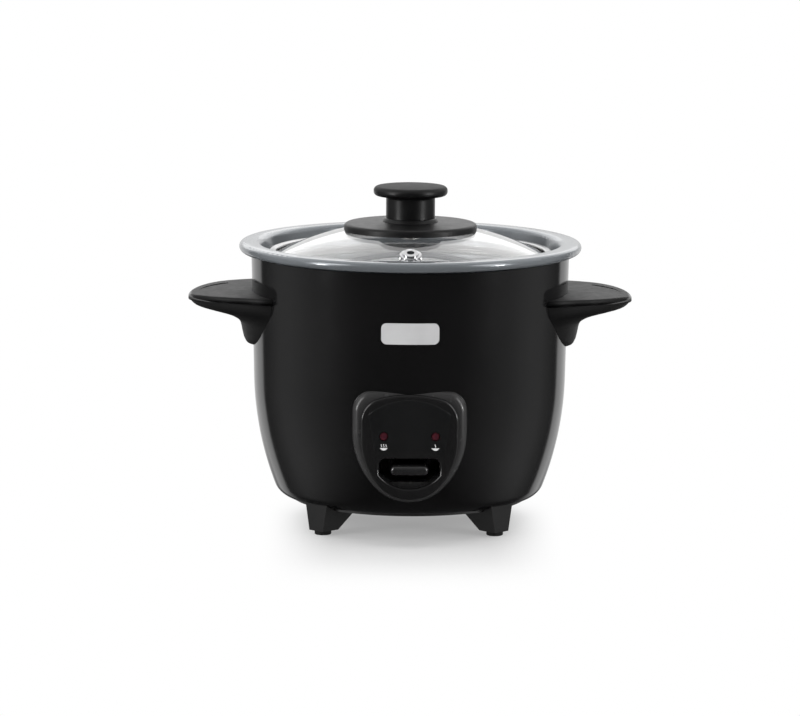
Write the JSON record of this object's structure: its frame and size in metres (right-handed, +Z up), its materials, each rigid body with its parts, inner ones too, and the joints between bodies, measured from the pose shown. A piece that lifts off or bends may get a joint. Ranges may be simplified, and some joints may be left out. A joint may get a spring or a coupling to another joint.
{
  "type": "rice cooker",
  "caption": "Small round rice cooker with a black shell on legs, side handles, lift-out coated pot, glass lid with knob, and a front panel with lamps and a cook lever.",
  "frame": {"origin": "on the table, under the middle of the cooker, level with the undersides of the foot pads", "axes": "+X to the right through the handles, -Y towards the front panel, +Z up"},
  "size_m": [0.2138, 0.165, 0.1632],
  "materials": {
    "body_plastic": "satin gloss black",
    "handle_plastic": "fine matte black",
    "knob_plastic": "satin black",
    "panel_plastic": "satin black",
    "window_film": "smoked, printed from behind",
    "lamp_lens": "unlit red",
    "plate_silver": "fine satin silver",
    "pot_coating": "satin blue-grey coating",
    "lid_glass": "clear tempered",
    "trim_steel": "polished",
    "eyelet_chrome": "polished",
    "liner_steel": "plain sheet",
    "plate_aluminium": "cast, turned on top",
    "element_steel": "heat-darkened tube",
    "zinc_steel": "zinc plated",
    "magnet_ferrite": "fired, dark grey",
    "white_plastic": "plain",
    "base_steel": "black paint",
    "pad_rubber": "matte",
    "pin_brass": "nickel-washed",
    "mica_band": "mica sheet"
  },
  "bodies": {
    "cooker": {"outer_shell": "body_plastic", "shell_lip": "body_plastic", "liner_side": "liner_steel", "liner_floor": "liner_steel", "heating_plate": "plate_aluminium", "heating_element": "element_steel", "plate_standoffs": "zinc_steel", "sensor_spring": "zinc_steel", "sensor_housing": "zinc_steel", "panel_bezel": "panel_plastic", "control_panel": "panel_plastic", "indicator_window": "window_film", "lamp_cook": "lamp_lens", "lamp_warm": "lamp_lens", "lamp_holder": "white_plastic", "name_plate": "plate_silver", "switch_bracket": "base_steel", "pivot_pin": "zinc_steel", "contact_switch": "white_plastic", "handle_right": "handle_plastic", "handle_left": "handle_plastic", "handle_screws": "zinc_steel", "base_plate": "base_steel", "foot_pads": "pad_rubber", "leg_screws": "zinc_steel", "tie_rods": "zinc_steel", "base_screws": "zinc_steel", "keep_warm_band": "mica_band", "thermal_fuse": "white_plastic", "terminal_block": "white_plastic", "power_inlet": "panel_plastic", "inlet_pins": "pin_brass", "leg_front_left": "handle_plastic", "leg_front_right": "handle_plastic", "leg_rear_left": "handle_plastic", "leg_rear_right": "handle_plastic"},
    "pot": {"pot_floor": "pot_coating", "pot_corner": "pot_coating", "pot_side": "pot_coating", "pot_ledge": "pot_coating", "pot_flange": "pot_coating"},
    "lid": {"lid_glass": "lid_glass", "lid_trim_ring": "trim_steel", "vent_eyelet": "eyelet_chrome", "knob_base": "knob_plastic", "knob_grip": "knob_plastic", "knob_washer": "pad_rubber", "knob_screw": "zinc_steel"},
    "cook_lever": {"switch_lever": "panel_plastic", "lever_button": "panel_plastic"},
    "plunger": {"magnet_plunger": "zinc_steel", "plunger_magnet": "magnet_ferrite"},
    "sensor": {"sensor_cap": "plate_aluminium", "sensor_ferrite": "magnet_ferrite"}
  },
  "joints": [
    {"name": "pot_lift", "type": "slide", "parent": "cooker", "child": "pot", "axis": [0, 0, 1], "range_m": [0, 0.1]},
    {"name": "lid_lift", "type": "slide", "parent": "pot", "child": "lid", "axis": [0, 0, 1], "range_m": [0, 0.1]},
    {"name": "cook_press", "type": "hinge", "parent": "cooker", "child": "cook_lever", "pos_m": [0, -0.041, 0.0374], "axis": [1, 0, 0], "range_deg": [0, 5.5], "stiffness_Nm_per_rad": 0.3, "springref_deg": -5.73},
    {"name": "plunger_lift", "type": "slide", "parent": "cooker", "child": "plunger", "axis": [0, 0, 1], "range_m": [0, 0.00396]},
    {"name": "sensor_press", "type": "slide", "parent": "cooker", "child": "sensor", "axis": [0, 0, 1], "range_m": [-0.001, 0], "stiffness_N_per_m": 400, "springref_m": 0.002, "deforming": ["sensor_spring"]}
  ],
  "couplings": [
    {"joint": "plunger_lift", "follows": "cook_press", "m_per_rad": 0.041}
  ]
}
